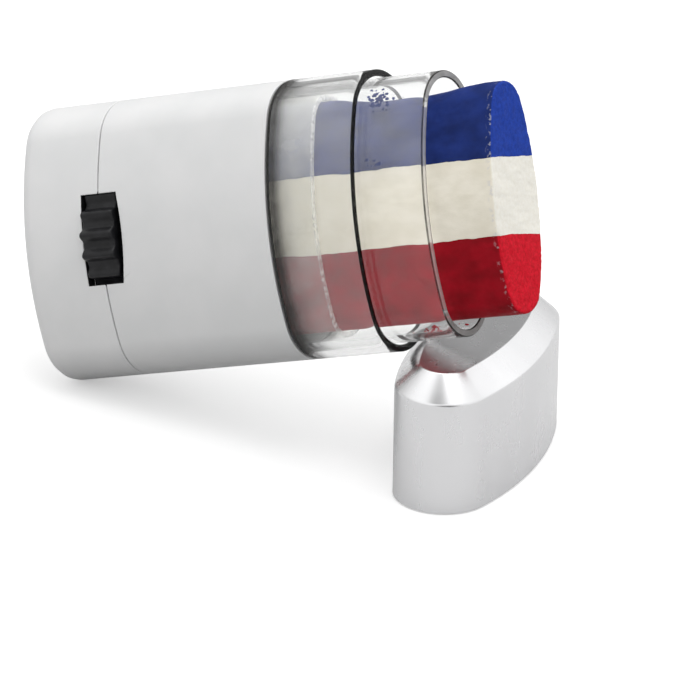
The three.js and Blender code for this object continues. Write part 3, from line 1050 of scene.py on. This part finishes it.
def crumb(points, faces, spot, normal, radius, shape):
    """Adds a small closed dome of wax on a wall, irregular in outline."""
    side = UP.cross(normal)
    start = len(points)
    steps = CRUMB_STEPS
    for height, spread in ((-SUNK, 1.0), (0.35 * CRUMB_THICK, 1.0), (CRUMB_THICK, 0.55)):
        for i in range(steps):
            a = 2 * math.pi * i / steps
            wobble = 1 + CRUMB_WOBBLE * noise.noise(Vector((math.cos(a), math.sin(a), shape)))
            away = UP * math.cos(a) * CRUMB_STRETCH + side * math.sin(a)
            points.append(spot + normal * height + away * (radius * spread * wobble))
    points.append(spot - normal * SUNK)
    points.append(spot + normal * CRUMB_THICK * 1.1)
    under, over = start + 3 * steps, start + 3 * steps + 1
    for i in range(steps):
        n = (i + 1) % steps
        faces.append((under, start + n, start + i))
        for low in (start, start + steps):
            faces.append((low + i, low + n, low + steps + n, low + steps + i))
        faces.append((start + 2 * steps + i, start + 2 * steps + n, over))


def smear(name, look, slot, patches, seed):
    """Crumbs of wax stuck inside the clear neck, thickest in the middle of each patch."""
    chance = random.Random(seed)
    points, faces = [], []
    reach = HALF_WIDE - BARREL_IN - 0.02
    for wide, up, spread_wide, spread_up, count in patches:
        for _ in range(count):
            x = wide + chance.gauss(0, spread_wide)
            z = up + chance.gauss(0, spread_up)
            x = max(-reach, min(reach, x))
            ahead = half_thickness(x + 0.01, BARREL_IN) - half_thickness(x - 0.01, BARREL_IN)
            inward = Vector((ahead, -0.02, 0)).normalized()
            spot = Vector((x, half_thickness(x, BARREL_IN), z))
            radius = CRUMB_LEAST + CRUMB_SPREAD * chance.random() ** 2
            crumb(points, faces, spot, inward, radius, chance.uniform(0, 50))
    piece = smooth(thing(name, points, faces, STICK), SOFT_FOLD)
    install(piece, "barrel", slot, [look])


# ---- cap ------------------------------------------------------------------------------------

def cap_corners(inset, rim, crown_radius, shoulder_radius):
    """Profile of a layer of the cap from its rim up over the shoulder to the flat top."""
    mitre = inset * math.tan(math.pi / 8)
    shoulder = SHELL_HI[2] - CAP_CHAMFER * math.tan(math.radians(CAP_SLOPE))
    return [
        (inset, rim, 0),
        (inset, shoulder - mitre, shoulder_radius),
        (CAP_CHAMFER + mitre, SHELL_HI[2] - inset, crown_radius),
        (CAP_CHAMFER + mitre + CAP_FACE, SHELL_HI[2] - inset, 0),
    ]


def cap_layer(name, outset, wall, rim, radii):
    inner = oval_rings(cap_corners(outset + wall, rim, LIP, LIP))[::-1]
    outer = oval_rings(cap_corners(outset, rim, *radii))
    rings = [centre(inner[0][1]), *inner, *outer, centre(outer[-1][1])]
    return smooth(thing(name, *skin(rings), CAP), SOFT_FOLD)


def cap_pieces(silver, liner_look):
    edges = (CAP_CROWN, CAP_SHOULDER)
    shell = cap_layer("cap_shell_metal", 0, CAP_SHELL, SHELL_LO[2], edges)
    install(shell, "cap", "silver_metal", [silver], "cap_shell")
    outset = HALF_WIDE - LINER_HI[0]
    liner = cap_layer("cap_liner_body", outset, LINER_WALL, LINER_LO[2], (LIP, LIP))
    install(liner, "cap", "liner_plastic", [liner_look], "cap_liner")


# ---- stage ----------------------------------------------------------------------------------

VIEW_AZIMUTH = 31.1       # degrees, 0 looks along +Y
VIEW_ELEVATION = 24.53
VIEW_ROLL = 0.81
LENS = 302.3              # mm on the default 36 mm sensor
DISTANCE = 0.8434         # m from the aim
AIM = (0.1276, -0.0545, -0.2855)  # aim from the box's centre, in shares of its sides

STUDIO_GLOW = 0.70
# Soft patches of the studio: azimuth, elevation, inner and outer half-angle, added brightness
PATCHES = [
    (0, 90, 20, 75, 0.14),
    (100, 30, 15, 60, 0.32),
    (-15, 50, 20, 70, 0.42),
    (160, 20, 8, 30, 0.40),
    (8, 60, 4, 21, -0.85),
    (35, 8, 5, 30, -0.75),
    (242 - VIEW_AZIMUTH, 20, 8, 36, -0.38),
]

SOFTBOX_PLACE = Vector((0.03, 0.14, 0.9))  # m
SOFTBOX_TARGET = Vector((0, 0, 0.03))
SOFTBOX_SIDE = 0.7        # m
SOFTBOX_POWER = 2.6       # W

FLOOR_HALF = 3.0          # m
FLOOR_DROP = 0.0002       # m, keeps the floor clear of the pieces that stand on it
FLOOR_GLOW = 0.39


def toward(azimuth, elevation):
    """Unit vector towards a place in the studio. Azimuth 0 is at -Y and turns towards +X."""
    a, e = math.radians(azimuth), math.radians(elevation)
    return Vector((math.sin(a) * math.cos(e), -math.cos(a) * math.cos(e), math.sin(e)))


def camera():
    lo, hi = CAD_BOX
    aim = (lo + hi) / 2 + Vector(a * s for a, s in zip(AIM, hi - lo))
    back = toward(VIEW_AZIMUTH, VIEW_ELEVATION)
    data = bpy.data.cameras.new("camera")
    data.lens = LENS
    data.clip_start = 0.05
    eye = bpy.data.objects.new("camera", data)
    eye.rotation_mode = "QUATERNION"
    roll = Matrix.Rotation(math.radians(VIEW_ROLL), 3, back)
    eye.rotation_quaternion = (roll @ (-back).to_track_quat("-Z", "Y").to_matrix()).to_quaternion()
    eye.location = aim + back * DISTANCE
    bpy.context.scene.collection.objects.link(eye)
    bpy.context.scene.camera = eye


def studio():
    """White room, brighter overhead and to the right, greyer behind."""
    p = Paint("studio", bpy.data.worlds)
    direction = p.add("ShaderNodeTexCoord").outputs["Generated"]
    total = STUDIO_GLOW
    for azimuth, elevation, inner, outer, brightness in PATCHES:
        facing = p.add("ShaderNodeVectorMath", {
            0: direction, 1: toward(azimuth, elevation),
        }, operation="DOT_PRODUCT").outputs["Value"]
        patch = p.add("ShaderNodeMapRange", {
            "Value": facing,
            "From Min": math.cos(math.radians(outer)), "From Max": math.cos(math.radians(inner)),
            "To Min": 0.0, "To Max": brightness,
        }, interpolation_type="SMOOTHSTEP").outputs["Result"]
        total = p.math("ADD", patch, total)
    sky = p.add("ShaderNodeBackground", {"Color": grey(1), "Strength": total})
    p.add("ShaderNodeOutputWorld", {"Surface": sky.outputs[0]})
    bpy.context.scene.world = p.owner


def softbox():
    data = bpy.data.lights.new("overhead", "AREA")
    data.shape = "RECTANGLE"
    data.size = data.size_y = SOFTBOX_SIDE
    data.energy = SOFTBOX_POWER
    lamp = bpy.data.objects.new("overhead", data)
    lamp.location = SOFTBOX_PLACE
    lamp.rotation_mode = "QUATERNION"
    lamp.rotation_quaternion = (SOFTBOX_TARGET - SOFTBOX_PLACE).to_track_quat("-Z", "Y")
    bpy.context.scene.collection.objects.link(lamp)


def floor():
    """Pale floor. It looks white to the camera but throws back less light than that."""
    half = FLOOR_HALF
    corners = [(-half, -half, 0), (half, -half, 0), (half, half, 0), (-half, half, 0)]
    mesh = bpy.data.meshes.new("floor")
    mesh.from_pydata(corners, [], [(0, 1, 2, 3)])
    slab = bpy.data.objects.new("floor", mesh)
    bpy.context.scene.collection.objects.link(slab)
    slab.location.z = -FLOOR_DROP
    p = Paint("pale_floor")
    glow = p.add("ShaderNodeEmission", {"Strength": FLOOR_GLOW}).outputs[0]
    seen = p.add("ShaderNodeAddShader", {0: p.diffuse(grey(0.70)), 1: glow}).outputs[0]
    surface = p.blend(p.light_path("Glossy"), p.diffuse(grey(0.31)), p.diffuse(grey(0.68)))
    surface = p.blend(p.light_path("Camera", "Transmission"), surface, seen)
    mesh.materials.append(p.done(surface))


# ---- build ----------------------------------------------------------------------------------

def build():
    white = white_plastic()
    black = black_plastic()
    # edge: near-black painted shade for the clear walls' rim lines and the barrel's floor.
    edge = painted_dark_edge()
    base_cup(white, black)
    barrel_sleeve(white, black)
    clear_collar(clear_plastic("clear_plastic", 0.0, COLLAR_LO[2]), edge)
    # Painted shade and painted light for the clear neck's rim: a dark veil and a pale veil.
    line = rim_tint("rim_painted_shade", colour(0.022, 0.020, 0.019), 0.75)
    flat = rim_tint("rim_painted_light", colour(0.75, 0.74, 0.73), 0.35)
    clear_barrel(clear_plastic("smeared_plastic", 0.045), edge, line, flat)
    thumbwheel(black)
    elevator_cup(milky_plastic(CUP_HI[2]))
    blue, red = colour_bars()
    smear("blue_smear", blue, "blue_colour", BLUE_PATCHES, 4)
    smear("red_smear", red, "red_colour", RED_PATCHES, 9)
    cap_pieces(satin_silver(), plain_moulding("liner_moulding", colour(0.78, 0.78, 0.77)))
    screw = frame["nodes"]["lead_screw"]
    screw.data.materials.clear()
    screw.data.materials.append(plain_moulding("screw_moulding", colour(0.76, 0.76, 0.74)))
    for piece in INSTALLED:
        settle(piece)


build()
floor()
studio()
softbox()
camera()
bpy.context.scene.view_settings.view_transform = "Standard"
